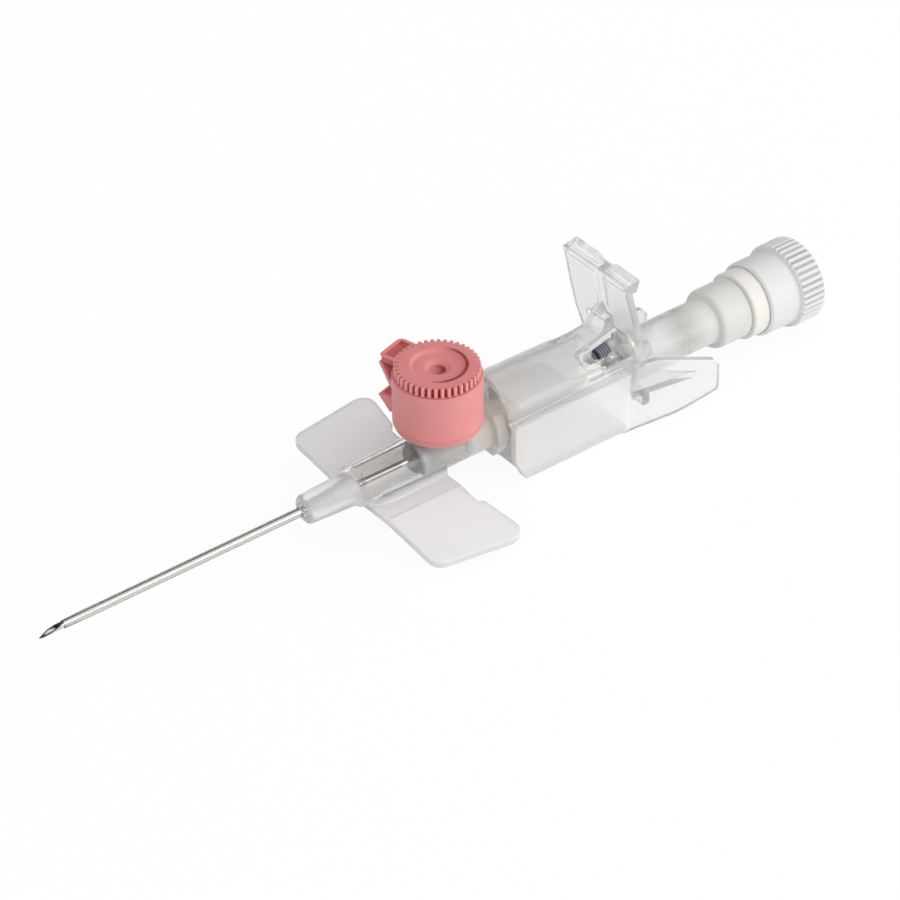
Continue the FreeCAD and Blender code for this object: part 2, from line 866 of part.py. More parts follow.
def finger_plate(sign):
    """Flared plate behind the side wall, with the inner rail that carries the hub tube."""
    start = box_rear_x - plate_lap
    outline = [
        (start, ledge_rear_z, 0),
        (start + plate_level_length, ledge_rear_z, plate_top_round),
        (start + plate_length - plate_shoulder_length, plate_shoulder_z, plate_tip_round),
        (start + plate_length, plate_tip_top, plate_tip_round),
        (start + plate_length + plate_tip_slant, plate_tip_bottom, plate_tip_round),
        (start + plate_belly_length, plate_belly_rise - box_bottom, plate_belly_round),
        (start, -box_bottom, 0),
    ]
    plate = slab(outline, side(box_half_width - plate_wall), V(0, plate_wall, 0))
    plate.rotate(V(box_rear_x, box_half_width, 0), Z_AXIS, plate_flare)
    inner_front = box_half_width - plate_wall + plate_rise * (rail_front_x - box_rear_x)
    inner_rear = box_half_width - plate_wall + plate_rise * (rail_rear_x - box_rear_x)
    rail_top = rail_z + rail_thickness
    tube_side = math.sqrt(hub_tube_radius ** 2 - rail_top ** 2) + running_gap
    rail = slab([
        (rail_front_x, tube_side, 0),
        (rail_front_x + rail_level_length, tube_side, 0),
        (rail_rear_x, inner_rear - seat_gap, 0),
        (rail_rear_x, inner_rear + rail_root, 0),
        (rail_front_x, inner_front + rail_root, 0),
    ], plan(rail_z), V(0, 0, rail_thickness))
    both = plate.fuse(rail)
    return both if sign > 0 else mirrored(both)


def make_saddle():
    """Cross wall between the plates, hollowed to the hub tube that rests in it."""
    half = box_half_width - plate_wall + plate_rise * (saddle_front_x - box_rear_x) + rail_root
    wall = block(saddle_front_x, saddle_front_x + saddle_thickness, -half, half,
                 saddle_foot_rise - box_bottom, rail_z + rail_thickness)
    hollow = rod(hub_tube_radius + running_gap, saddle_front_x - overlap,
                 saddle_front_x + saddle_thickness + overlap)
    return wall.cut(hollow)


def flange_face_x(z):
    """Rear face of the leaning flange at one height."""
    return flange_foot_x - flange_lean * (z - flange_foot_z)


def flange_top_z(x):
    """Top face of plate and lip at one place, falling forward from the lip's rear edge."""
    rear_x = flange_top_x + lip_length - lip_top_inset
    return flange_top - lip_fall * (rear_x - x) / (rear_x - flange_top_x + flange_thickness)


def make_flange_plate():
    """Leaning plate, cut by the outline seen from the front and by the arch at its foot."""
    blank = slab(both_sides([
        (box_half_width, flange_foot_z, 0),
        (flange_waist, flange_waist_low_z, flange_waist_low_round),
        (flange_waist, flange_waist_high_z, flange_waist_high_round),
        (flange_half_width, flange_top, flange_corner_round),
    ]), front(flange_foot_x - beyond), V(2 * beyond, 0, 0))
    lean = slice_across([
        (flange_foot_x, flange_foot_z, 0),
        (flange_top_x, flange_top_z(flange_top_x), 0),
        (flange_top_x - flange_thickness, flange_top_z(flange_top_x - flange_thickness), 0),
        (flange_foot_x - flange_thickness, flange_foot_z, 0),
    ], beyond)
    arch = slab(both_sides([
        (arch_foot_half_width, flange_foot_z - overlap, 0),
        (arch_top_half_width, arch_top, arch_top_round),
    ]), front(flange_foot_x - beyond), V(2 * beyond, 0, 0))
    return blank.common(lean).cut(arch)


def make_flange_lip():
    """Forward-sloping lip behind the plate's top edge, dished in the middle for the finger."""
    low = flange_top - lip_depth
    lip = slice_across([
        (flange_top_x, low, 0),
        (flange_top_x + lip_length - lip_slant, low - lip_slant, lip_round),
        (flange_top_x + lip_length, flange_top - lip_slant, lip_round),
        (flange_top_x + lip_length - lip_top_inset, flange_top, lip_round),
        (flange_top_x, flange_top_z(flange_top_x), 0),
    ], flange_half_width)
    dip = slab(both_sides([
        (lip_dip_half_width, flange_top - lip_dip, lip_dip_round),
        (lip_dip_half_width + lip_dip_run, flange_top, 0),
        (lip_dip_half_width + lip_dip_run, flange_top + 1, 0),
    ]), front(flange_top_x - overlap), V(lip_length + 2 * overlap, 0, 0))
    return lip.cut(dip)


def make_flange_rib():
    """Narrow upright rib through the middle of the plate, under the lip."""
    top = flange_top - lip_depth + overlap
    return slice_across([
        (flange_top_x, rib_bottom, 0),
        (flange_top_x, top, 0),
        (flange_top_x + rib_length, top, 0),
        (flange_face_x(rib_bottom) - overlap, rib_bottom, 0),
    ], rib_half_width)


def make_gusset():
    """Ramp that carries the crest of the canopy up into the plate above the arch."""
    crest = canopy_z + canopy_rear_radius
    underside = crest - canopy_wall + gusset_sink
    rib_foot = rib_bottom + overlap
    return slice_across([
        (canopy_rear_x - gusset_lead, crest - gusset_sink, 0),
        (flange_top_x - gusset_rise, crest + gusset_rise, gusset_round),
        (flange_top_x, rib_foot, 0),
        (flange_face_x(rib_foot) - overlap, rib_foot, 0),
        (flange_face_x(arch_top) - overlap, arch_top + gusset_sink, 0),
        (canopy_rear_x - overlap, underside, 0),
        (canopy_rear_x - gusset_lead, underside, 0),
    ], window_half_crest)


def make_needle_grip():
    pieces = [make_grip_box(), make_canopy(), make_saddle()]
    for sign in (-1, 1):
        pieces += [ledge(sign), finger_plate(sign)]
    pieces += [make_flange_plate(), make_flange_lip(), make_flange_rib(), make_gusset()]
    return fused(pieces)


def leaned(shape):
    """Set a piece drawn along X against the hub's front wall, square to the leaning flange."""
    placed = shape.copy()
    placed.rotate(ORIGIN, Y_AXIS, -coil_tilt)
    placed.translate(V(hub_tube_front_x, 0, coil_z))
    return placed


def make_needle_hub():
    inner_radius = hub_tube_radius - hub_tube_wall
    chamber_inner = chamber_radius - chamber_wall
    shell = turned([
        (hub_tube_front_x, 0),
        (hub_tube_front_x, hub_tube_radius),
        (hub_tube_rear_x, hub_tube_radius),
        (hub_tube_rear_x, chamber_radius - chamber_round),
        (hub_tube_rear_x + chamber_round * round_share, chamber_radius - chamber_round * round_share),
        (hub_tube_rear_x + chamber_round, chamber_radius),
        (chamber_rear_x, chamber_radius),
        (chamber_rear_x, chamber_inner),
        (hub_tube_rear_x + chamber_wall, chamber_inner),
        (hub_tube_rear_x + chamber_wall, inner_radius),
        (hub_tube_front_x + hub_front_wall, inner_radius),
        (hub_tube_front_x + hub_front_wall, 0),
    ])
    boss = rod(hub_boss_radius, hub_boss_front_x, hub_boss_rear_x)
    peg = leaned(rod(peg_radius, -peg_length, overlap))
    pad = slab([
        (-pad_half_width, pad_bottom, 0),
        (pad_half_width, pad_bottom, 0),
        (pad_half_width, coil_z + pad_rim, pad_round),
        (-pad_half_width, coil_z + pad_rim, pad_round),
    ], front(hub_tube_front_x), V(hub_front_wall, 0, 0))
    bore = rod(needle_radius + running_gap, hub_boss_front_x, hub_boss_rear_x)
    return fused([shell, boss, peg, pad]).cut(bore)


def make_hub_coil():
    helix = Part.makeHelix(coil_pitch, coil_turns * coil_pitch, coil_radius)
    section = Part.Wire(Part.makeCircle(coil_wire_radius, V(coil_radius, 0, 0), Y_AXIS))
    coil = Part.Wire(helix).makePipeShell([section], True, True)
    coil.rotate(ORIGIN, Y_AXIS, -90)
    coil.translate(V(-coil_setback - coil_wire_radius, 0, 0))
    return leaned(coil)


def make_filter_housing():
    spigot_radius = chamber_radius - chamber_wall - running_gap
    stop = spigot_front_x + filter_length + seat_gap
    return turned([
        (spigot_front_x, housing_bore + housing_ledge),
        (spigot_front_x, spigot_radius),
        (housing_front_x, spigot_radius),
        (housing_front_x, housing_radius - housing_edge),
        (housing_front_x + housing_edge, housing_radius),
        (housing_rear_x, housing_radius),
        (housing_rear_x, housing_bore),
        (stop, housing_bore - housing_ledge),
        (stop, housing_bore + housing_ledge),
    ])


def make_vent_filter():
    return rod(housing_bore + housing_ledge - running_gap, spigot_front_x,
               spigot_front_x + filter_length)


def make_lock_plug():
    grip = toothed(plug_grip_root, plug_grip_radius, plug_ribs, plug_grip_length,
                   V(plug_grip_x, 0, 0), X_AXIS)
    envelope = turned([
        (plug_grip_x, 0),
        (plug_grip_x, plug_grip_radius - plug_grip_front_edge),
        (plug_grip_x + plug_grip_front_edge, plug_grip_radius),
        (plug_rear_x - plug_grip_rear_edge, plug_grip_radius),
        (plug_rear_x, plug_grip_radius - plug_grip_rear_edge),
        (plug_rear_x, 0),
    ])
    skirt_inner = housing_radius + seat_gap
    web_start = housing_rear_x + seat_gap
    web_end = web_start + plug_wall
    skirt = turned([
        (plug_front_x, skirt_inner),
        (plug_front_x, plug_skirt_radius - plug_skirt_edge),
        (plug_front_x + plug_skirt_edge, plug_skirt_radius),
        (plug_grip_x + overlap, plug_skirt_radius),
        (plug_grip_x + overlap, 0),
        (web_end, 0),
        (web_end, skirt_inner - plug_wall),
        (web_start, skirt_inner - plug_wall),
        (web_start, skirt_inner),
    ])
    nose_radius = housing_bore - running_gap
    nose_tip = housing_rear_x - plug_nose_length
    nose = turned([
        (nose_tip, 0),
        (nose_tip, nose_radius - housing_ledge - plug_nose_edge),
        (nose_tip + plug_nose_edge, nose_radius - housing_ledge),
        (housing_rear_x, nose_radius),
        (web_end + overlap, nose_radius),
        (web_end + overlap, 0),
    ])
    recess = rod(plug_recess_radius, plug_rear_x - plug_recess_depth, plug_rear_x)
    vent = rod(plug_vent_radius, nose_tip, plug_rear_x)
    return fused([grip.common(envelope), skirt, nose]).cut(recess).cut(vent)


makers = {
    "catheter_tube": make_catheter_tube,
    "catheter_wedge": make_catheter_wedge,
    "catheter_hub": make_catheter_hub,
    "port_valve": make_port_valve,
    "cap_collar": make_cap_collar,
    "cap_lid": make_cap_lid,
    "needle": make_needle,
    "shield_body": make_shield_body,
    "shield_clip": make_shield_clip,
    "needle_grip": make_needle_grip,
    "needle_hub": make_needle_hub,
    "hub_coil": make_hub_coil,
    "filter_housing": make_filter_housing,
    "vent_filter": make_vent_filter,
    "lock_plug": make_lock_plug,
}

os.makedirs("parts", exist_ok=True)
for node, maker in makers.items():
    piece = maker()
    piece.exportStep("parts/" + node + ".step")
    box = piece.BoundBox
    print(node, "solids", len(piece.Solids), "valid", piece.isValid(), "volume", round(piece.Volume, 2),
          "x", round(box.XMin, 2), round(box.XMax, 2), "y", round(box.YMin, 2), round(box.YMax, 2),
          "z", round(box.ZMin, 2), round(box.ZMax, 2))
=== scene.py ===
"""Looks of a ported, winged over-the-needle vein cannula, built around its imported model."""
import math

import bmesh
import bpy
from mathutils import Matrix, Vector


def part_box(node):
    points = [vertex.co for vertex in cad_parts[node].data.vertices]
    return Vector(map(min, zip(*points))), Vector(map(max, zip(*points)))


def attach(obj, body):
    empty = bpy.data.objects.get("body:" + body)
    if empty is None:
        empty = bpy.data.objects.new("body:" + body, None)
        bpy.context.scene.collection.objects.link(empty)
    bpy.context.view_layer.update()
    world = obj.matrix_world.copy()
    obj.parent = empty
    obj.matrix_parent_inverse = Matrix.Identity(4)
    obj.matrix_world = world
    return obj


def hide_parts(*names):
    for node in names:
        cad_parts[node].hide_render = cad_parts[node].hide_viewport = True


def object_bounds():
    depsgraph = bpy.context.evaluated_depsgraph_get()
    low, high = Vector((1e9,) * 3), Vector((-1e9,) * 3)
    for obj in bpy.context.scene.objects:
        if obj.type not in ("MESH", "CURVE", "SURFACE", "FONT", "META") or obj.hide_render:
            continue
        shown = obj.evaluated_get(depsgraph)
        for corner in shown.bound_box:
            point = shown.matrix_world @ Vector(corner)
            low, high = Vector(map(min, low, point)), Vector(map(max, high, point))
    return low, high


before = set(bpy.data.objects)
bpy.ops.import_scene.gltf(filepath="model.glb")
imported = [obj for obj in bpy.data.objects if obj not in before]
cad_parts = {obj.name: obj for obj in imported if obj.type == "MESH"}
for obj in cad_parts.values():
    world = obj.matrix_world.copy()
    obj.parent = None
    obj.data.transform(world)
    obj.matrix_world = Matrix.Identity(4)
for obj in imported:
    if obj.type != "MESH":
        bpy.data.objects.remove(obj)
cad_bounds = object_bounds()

# The photographer's table: a white sweep, one large soft light low on the right and a long lens.
# The rear of the studio is left dim, and that draws the grey upper edges of the clear mouldings
# and the dark line along the needle.
MM = 0.001
bpy.context.scene.view_settings.view_transform = "Standard"
camera_azimuth = math.radians(-37.485)
camera_elevation = math.radians(36.84)
camera_roll = math.radians(-0.736)
camera_distance = 514.96 * MM
camera_aim = Vector((19.757, -0.989, -0.343)) * MM
camera_lens = 183.31
camera_sensor = 36.0
camera_near = 10.0 * MM
camera_far = 10000.0 * MM


class Wire:
    """One shader socket that takes part in Python arithmetic."""

    def __init__(self, tree, socket):
        self.tree = tree
        self.socket = socket

    def wired(self, operation, first, second):
        """Math on values, Vector Math as soon as a colour or a vector takes part."""
        wide = any(isinstance(term, tuple) or isinstance(term, Wire) and term.socket.type != "VALUE"
                   for term in (first, second))
        maths = self.tree.nodes.new("ShaderNodeVectorMath" if wide else "ShaderNodeMath")
        maths.operation = operation
        for place, term in enumerate((first, second)):
            if isinstance(term, Wire):
                self.tree.links.new(term.socket, maths.inputs[place])
            elif wide and not isinstance(term, tuple):
                maths.inputs[place].default_value = (term, term, term)
            else:
                maths.inputs[place].default_value = term
        return Wire(self.tree, maths.outputs[0])

    def __add__(self, other):
        return self.wired("ADD", self, other)

    def __radd__(self, other):
        return self.wired("ADD", other, self)

    def __sub__(self, other):
        return self.wired("SUBTRACT", self, other)

    def __rsub__(self, other):
        return self.wired("SUBTRACT", other, self)

    def __mul__(self, other):
        return self.wired("MULTIPLY", self, other)

    def __rmul__(self, other):
        return self.wired("MULTIPLY", other, self)


class Finish:
    """The nodes of one material or world, all of them made by one method."""

    def __init__(self, tree):
        self.tree = tree
        self.tree.nodes.clear()

    def node(self, kind, settings=None, inputs=None, output=0):
        """Node of a type: settings first, then the values or links of its sockets."""
        made = self.tree.nodes.new(kind)
        for name, value in (settings or {}).items():
            setattr(made, name, value)
        for name, value in (inputs or {}).items():
            if isinstance(value, Wire):
                self.tree.links.new(value.socket, made.inputs[name])
            else:
                made.inputs[name].default_value = value
        return Wire(self.tree, made.outputs[output]) if made.outputs else None

    def step(self, value, low, high, at_low=0.0, at_high=1.0):
        """Soft passage from one level to another while a value runs from low to high."""
        return self.node("ShaderNodeMapRange", {"interpolation_type": "SMOOTHSTEP"}, {
            "Value": value, "From Min": low, "From Max": high, "To Min": at_low, "To Max": at_high},
            "Result")


def colour(red, green, blue):
    return (red, green, blue, 1.0)


key_side = Vector((0.62, -0.72, 0.05)).normalized()
rear_side = Vector((0.487, 0.80, 0.35)).normalized()
room_dim = 0.58
room_bright = 1.06
room_turn = 0.7
rear_shade = 0.8
rear_edge = 0.70
rear_core = 0.97
world = bpy.data.worlds.new("studio_room")
world.use_nodes = True
bpy.context.scene.world = world
room = Finish(world.node_tree)
looking = room.node("ShaderNodeTexCoord", output="Generated")
to_key = room.node("ShaderNodeVectorMath", {"operation": "DOT_PRODUCT"}, {0: looking, 1: key_side}, "Value")
to_rear = room.node("ShaderNodeVectorMath", {"operation": "DOT_PRODUCT"}, {0: looking, 1: rear_side}, "Value")
room_level = room.step(to_key, -room_turn, room_turn, room_dim, room_bright)
room_level = room_level * (1 - room.step(to_rear, rear_edge, rear_core, 0.0, rear_shade))
seen = room.node("ShaderNodeLightPath", output="Is Camera Ray")
room_light = room.node("ShaderNodeBackground", None, {"Color": room_level, "Strength": 1.0})
room_white = room.node("ShaderNodeBackground", None, {"Color": colour(1, 1, 1), "Strength": 1.0})
room_mix = room.node("ShaderNodeMixShader", None, {"Fac": seen, 1: room_light, 2: room_white})
room.node("ShaderNodeOutputWorld", None, {"Surface": room_mix})

camera_data = bpy.data.cameras.new("photo_camera")
camera_data.lens = camera_lens
camera_data.sensor_width = camera_sensor
camera_data.clip_start = camera_near
camera_data.clip_end = camera_far
camera = bpy.data.objects.new("photo_camera", camera_data)
bpy.context.scene.collection.objects.link(camera)
bpy.context.scene.camera = camera
back = Vector((math.sin(camera_azimuth) * math.cos(camera_elevation),
               -math.cos(camera_azimuth) * math.cos(camera_elevation), math.sin(camera_elevation)))
level = Vector((math.cos(camera_azimuth), math.sin(camera_azimuth), 0.0))
rise = back.cross(level)
right = level * math.cos(camera_roll) + rise * math.sin(camera_roll)
up = rise * math.cos(camera_roll) - level * math.sin(camera_roll)
camera.matrix_world = Matrix.Translation(camera_aim + back * camera_distance) @ Matrix(
    (right, up, back)).transposed().to_4x4()

key_place = Vector((440.0, -500.0, 200.0)) * MM
key_target = Vector((19.0, 0.0, 0.0)) * MM
key_width = 400.0 * MM
key_height = 300.0 * MM
key_power = 1.0
key_data = bpy.data.lights.new("key_panel", "AREA")
key_data.shape = "RECTANGLE"
key_data.size = key_width
key_data.size_y = key_height
key_data.energy = key_power
key_panel = bpy.data.objects.new("key_panel", key_data)
bpy.context.scene.collection.objects.link(key_panel)
key_panel.location = key_place
key_panel.rotation_euler = (key_target - key_place).to_track_quat("-Z", "Y").to_euler()


def finish_named(name):
    """An empty material and the maker of its nodes."""
    material = bpy.data.materials.new(name)
    material.use_nodes = True
    return material, Finish(material.node_tree)


floor_half = 1500.0 * MM
floor_gap = 0.05 * MM
floor_z = cad_bounds[0][2] - floor_gap
paper_share = 0.1
paper_white = colour(0.93, 0.93, 0.93)
paper_glow = 1.02
floor_mesh = bpy.data.meshes.new("white_sweep")
floor_mesh.from_pydata([(-floor_half, -floor_half, floor_z), (floor_half, -floor_half, floor_z),
                        (floor_half, floor_half, floor_z), (-floor_half, floor_half, floor_z)],
                       [], [(0, 1, 2, 3)])
floor = bpy.data.objects.new("white_sweep", floor_mesh)
bpy.context.scene.collection.objects.link(floor)
sweep_paint, sweep = finish_named("sweep_paint")
sweep_paper = sweep.node("ShaderNodeBsdfDiffuse", None, {"Color": paper_white})
sweep_glow = sweep.node("ShaderNodeEmission", None, {"Color": colour(1, 1, 1), "Strength": paper_glow})
direct = 0.0
for kind_of_ray in ("Is Camera Ray", "Is Glossy Ray", "Is Transmission Ray"):
    ray = sweep.node("ShaderNodeLightPath", output=kind_of_ray)
    direct = sweep.node("ShaderNodeMath", {"operation": "MAXIMUM"}, {0: direct, 1: ray})
sweep_mix = sweep.node("ShaderNodeMixShader", None, {
    "Fac": direct * (1 - paper_share), 1: sweep_paper, 2: sweep_glow})
sweep.node("ShaderNodeOutputMaterial", None, {"Surface": sweep_mix})
floor_mesh.materials.append(sweep_paint)

# The catheter: a soft extruded polymer tube with its end drawn down to a cone over the needle. It
# is flared at the root, where the steel funnel pins it in the nose. It hugs the needle so closely
# that the steel shows through it as if under a varnish.
tube_front_x, tube_root_x = (corner[0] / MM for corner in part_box("catheter_tube"))
tube_radius = 0.55
tube_tip_radius = 0.47
tube_hug_radius = 0.38
tube_cone_length = 3.0
tube_lip_round = 0.06
tube_flare_x = -0.3
tube_pinch_x = 1.4
tube_pinch_radius = 0.69
tube_root_radius = 0.77
tube_wall = 0.12


def turned(name, outline, sides, crease=40.0):
    """Lathed piece about the needle's axis from a closed line of (along, radius) in millimetres."""
    lathe = bmesh.new()
    rings = []
    for along, radius in outline:
        ring = []
        for side in range(sides):
            turn = 2 * math.pi * side / sides
            ring.append(lathe.verts.new(
                (along * MM, radius * math.cos(turn) * MM, radius * math.sin(turn) * MM)))
        rings.append(ring)
    for place, ring in enumerate(rings):
        following = rings[(place + 1) % len(rings)]
        for side in range(sides):
            beside = (side + 1) % sides
            lathe.faces.new((ring[side], following[side], following[beside], ring[beside]))
    bmesh.ops.recalc_face_normals(lathe, faces=lathe.faces)
    mesh = bpy.data.meshes.new(name)
    lathe.to_mesh(mesh)
    lathe.free()
    mesh.shade_smooth()
    mesh.set_sharp_from_angle(angle=math.radians(crease))
    piece = bpy.data.objects.new(name, mesh)
    bpy.context.scene.collection.objects.link(piece)
    return piece


def corner_arc(along, radius, bend, start, end, count=5):
    """Points of a rounded corner: centre, radius of the round, and its first and last angle."""
    points = []
    for index in range(count):
        angle = math.radians(start + (end - start) * index / (count - 1))
        points.append((along + bend * math.cos(angle), radius + bend * math.sin(angle)))
    return points


def fit(piece, node, body, material):
    """Set a piece in a solid's place, on its body and in its material slot."""
    piece.data.materials.clear()
    piece.data.materials.append(material)
    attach(piece, body)
    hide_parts(node)


tube_lip = corner_arc(tube_front_x + tube_lip_round, tube_tip_radius - tube_lip_round,
                      tube_lip_round, 180, 90)
catheter_skin = turned("catheter_skin", [
    (tube_front_x, tube_hug_radius)] + tube_lip + [
    (tube_front_x + tube_cone_length, tube_radius),
    (tube_flare_x, tube_radius),
    (tube_pinch_x, tube_pinch_radius),
    (tube_root_x, tube_root_radius),
    (tube_root_x, tube_root_radius - tube_wall),
    (tube_pinch_x, tube_pinch_radius - tube_wall),
    (tube_flare_x, tube_hug_radius),
], sides=64)

catheter_polymer, drawn = finish_named("catheter_polymer")


def place_in_mm(maker):
    """Sockets of the place on the object: the whole vector, then X, Y and Z, in millimetres."""
    whole = maker.node("ShaderNodeTexCoord", output="Object") * (1 / MM)
    return (whole,) + tuple(
        maker.node("ShaderNodeSeparateXYZ", None, {"Vector": whole}, axis) for axis in "XYZ")


def mottle(maker, where, scale):
    """Soft uneven pattern from 0 to 1, with so many cells a millimetre."""
    return maker.node("ShaderNodeTexNoise", None, {"Vector": where, "Scale": scale, "Detail": 3.0},
                      "Fac")


def dented(maker, height, depth):
    """Surface normal of a relief whose full height is a depth in millimetres."""
    return maker.node("ShaderNodeBump", None, {"Height": height, "Distance": depth * MM}, "Normal")


def surfaced(maker, inputs, other=None, share=0.0):
    """Principled skin of a finish, with a share of another one, joined to the output."""
    skin = maker.node("ShaderNodeBsdfPrincipled", None, inputs)
    if other:
        second = maker.node("ShaderNodeBsdfPrincipled", None, other)
        skin = maker.node("ShaderNodeMixShader", None, {"Fac": share, 1: skin, 2: second})
    maker.node("ShaderNodeOutputMaterial", None, {"Surface": skin})


where = place_in_mm(drawn)[0]
draw_lines = mottle(drawn, where * (0.08, 1.0, 1.0), scale=9.0)
surfaced(drawn, {
    "Base Color": (draw_lines - 0.5) * 0.04 + (0.95, 0.95, 0.955),
    "Roughness": draw_lines * 0.10 + 0.03,
    "Transmission Weight": 1.0,
    "IOR": 1.36,
    "Normal": dented(drawn, draw_lines, depth=0.01)})
fit(catheter_skin, "catheter_tube", "catheter", catheter_polymer)

# The funnel: a short thimble drawn from thin stainless sheet. It is pressed into the nose from
# behind and pins the tube's flared root, and its drawing rings still show.
wedge_steel, funnel = finish_named("wedge_steel")
where = place_in_mm(funnel)[0]
drawing_rings = mottle(funnel, where * (6.0, 0.2, 0.2), scale=1.0)
surfaced(funnel, {
    "Base Color": (drawing_rings - 0.5) * 0.10 + (0.74, 0.74, 0.72),
    "Roughness": drawing_rings * 0.20 + 0.35,
    "Metallic": 1.0,
    "Normal": dented(funnel, drawing_rings, depth=0.01)})


def clad(node, material):
    """Give a carried-over solid its finish."""
    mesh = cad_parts[node].data
    mesh.materials.clear()
    mesh.materials.append(material)


clad("catheter_wedge", wedge_steel)

# The hub: one shot of clear plastic. Its mould was polished for the barrel, so that blood can be
# seen in it, and left matt for the nose, the socket and the wings. Every edge is slightly round.
hub_voxel = 0.145
wing_matt_z = -1.8
wing_clear_z = -0.6
keel_edge_y = 2.0
wing_start_y = 3.0
keel_milk = 0.75
nose_matt_x = 6.0
barrel_clear_x = 7.2
nose_milk = 0.52
socket_clear_x = 20.5
socket_frost_x = 22.5
socket_milk = 0.8
socket_cream = (0.0, -0.035, -0.075)


def moulded(node, name, voxel, passes=2):
    """Copy of a solid with its edges rounded as a mould leaves them; voxel in millimetres."""
    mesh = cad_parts[node].data.copy()
    mesh.transform(Matrix.Scale(1 / MM, 4))
    piece = bpy.data.objects.new(name, mesh)
    bpy.context.scene.collection.objects.link(piece)
    drawing = bpy.data.objects.new(name + "_drawing", mesh.copy())
    bpy.context.scene.collection.objects.link(drawing)
    skin = piece.modifiers.new("skin", "REMESH")
    skin.mode = "VOXEL"
    skin.voxel_size = voxel
    hold = piece.modifiers.new("hold", "SHRINKWRAP")
    hold.wrap_method = "NEAREST_SURFACEPOINT"
    hold.target = drawing
    polish = piece.modifiers.new("polish", "SMOOTH")
    polish.factor = 0.5
    polish.iterations = passes
    rounded = bpy.data.meshes.new_from_object(
        piece.evaluated_get(bpy.context.evaluated_depsgraph_get()))
    piece.modifiers.clear()
    piece.data = rounded
    bpy.data.objects.remove(drawing)
    rounded.transform(Matrix.Scale(MM, 4))
    rounded.shade_smooth()
    return piece


clear_hub = moulded("catheter_hub", "clear_hub", hub_voxel)
hub_clear, crystal = finish_named("hub_clear")
where, x, y, z = place_in_mm(crystal)
from_middle = crystal.node("ShaderNodeMath", {"operation": "ABSOLUTE"}, {0: y})
wing_matt = (1 - crystal.step(z, wing_matt_z, wing_clear_z)) * crystal.step(
    from_middle, keel_edge_y, wing_start_y, keel_milk, 1.0)
nose_matt = 1 - crystal.step(x, nose_matt_x, barrel_clear_x)
socket_matt = crystal.step(x, socket_clear_x, socket_frost_x)
spark = mottle(crystal, where, scale=14.0)
hub_matt = crystal.node("ShaderNodeMath", {"operation": "MAXIMUM"}, {
    0: wing_matt, 1: nose_matt * nose_milk}) + socket_matt * socket_milk
surfaced(crystal, {
    "Base Color": (spark - 0.5) * 0.02 + (0.965, 0.953, 0.948),
    "Roughness": spark * 0.04 + 0.03,
    "Transmission Weight": 0.97,
    "IOR": 1.33,
    "Normal": dented(crystal, spark, depth=0.003)}, {
    "Base Color": (spark - 0.5) * 0.02 + socket_matt * socket_cream + (0.985, 0.98, 0.972),
    "Roughness": spark * 0.1 + 0.33,
    "Transmission Weight": 0.38,
    "IOR": 1.28,
    "Normal": dented(crystal, spark, depth=0.003)}, hub_matt * 0.95)
fit(clear_hub, "catheter_hub", "catheter", hub_clear)

# The valve: a sleeve cut from extruded silicone tube and pushed into the barrel under the port,
# where a syringe's pressure folds it in. It wets the clear wall, so nothing glitters between them.
valve_front_x, valve_rear_x = (corner[0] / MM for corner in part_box("port_valve"))
valve_radius = 2.06
valve_bore = 1.5
valve_round = 0.35
mouth_start = 0.1
mouth_end = 0.45
mouth_shade = (-0.24, -0.20, -0.14)
valve_sleeve = turned("valve_sleeve", corner_arc(
    valve_front_x + valve_round, valve_radius - valve_round, valve_round, 180, 90) + corner_arc(
    valve_rear_x - valve_round, valve_radius - valve_round, valve_round, 90, 0) + [
    (valve_rear_x, valve_bore),
    (valve_front_x + valve_round, valve_bore),
    (valve_front_x, valve_bore + valve_round / 2),
], sides=96)
valve_silicone, sleeve = finish_named("valve_silicone")
where, x, y, z = place_in_mm(sleeve)
cloud = mottle(sleeve, where, scale=0.8)
dust = mottle(sleeve, where, scale=12.0)
# The sleeve's front mouth is painted darker: painted shade in the mouth of the bore.
shaded_mouth = 1 - sleeve.step(x, valve_front_x + mouth_start, valve_front_x + mouth_end)
surfaced(sleeve, {
    "Base Color": (cloud - 0.5) * 0.05 + (dust - 0.5) * 0.04 + shaded_mouth * mouth_shade + (0.70, 0.715, 0.70),
    "Roughness": dust * 0.2 + 0.45,
    "Normal": dented(sleeve, dust, depth=0.01)})
fit(valve_sleeve, "port_valve", "catheter", valve_silicone)

# The port's collar: satin pink plastic, pressed over the spigot. Strap and lower lug are moulded
# with it, and the spark-eroded mould leaves a fine even grain.
pink = (0.80, 0.29, 0.285)
collar_voxel = 0.105
foot_line_rises = (0.45, 0.85)
foot_line_below = 0.12
foot_line_above = 0.07
foot_line_shade = (-0.16, -0.12, -0.115)
pink_collar = moulded("cap_collar", "pink_collar", collar_voxel)


def grained(maker, base, rough, scale, depth, spread):
    """Satin moulded plastic: even spark grain, slightly cloudy colour."""
    spot = place_in_mm(maker)[0]
    spark_grain = mottle(maker, spot, scale)
    shade = mottle(maker, spot, scale=0.35)
    return {
        "Base Color": (shade - 0.5) * spread + (spark_grain - 0.5) * spread + base,
        "Roughness": spark_grain * 0.25 + rough,
        "Normal": dented(maker, spark_grain, depth)}


collar_satin, satin = finish_named("collar_satin")
where, x, y, z = place_in_mm(satin)
foot_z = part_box("cap_collar")[0][2] / MM
# Two thin bands round the collar's foot are painted darker: painted shade in the creases of its step.
foot_crease_shading = 0.0
for line_rise in foot_line_rises:
    line_z = foot_z + line_rise
    foot_crease_shading = foot_crease_shading + satin.step(z, line_z - foot_line_below, line_z) * (
        1 - satin.step(z, line_z, line_z + foot_line_above))
surfaced(satin, {
    **grained(satin, foot_crease_shading * foot_line_shade + pink, rough=0.35, scale=6.0, depth=0.015, spread=0.05),
    "IOR": 1.5})
fit(pink_collar, "cap_collar", "catheter", collar_satin)

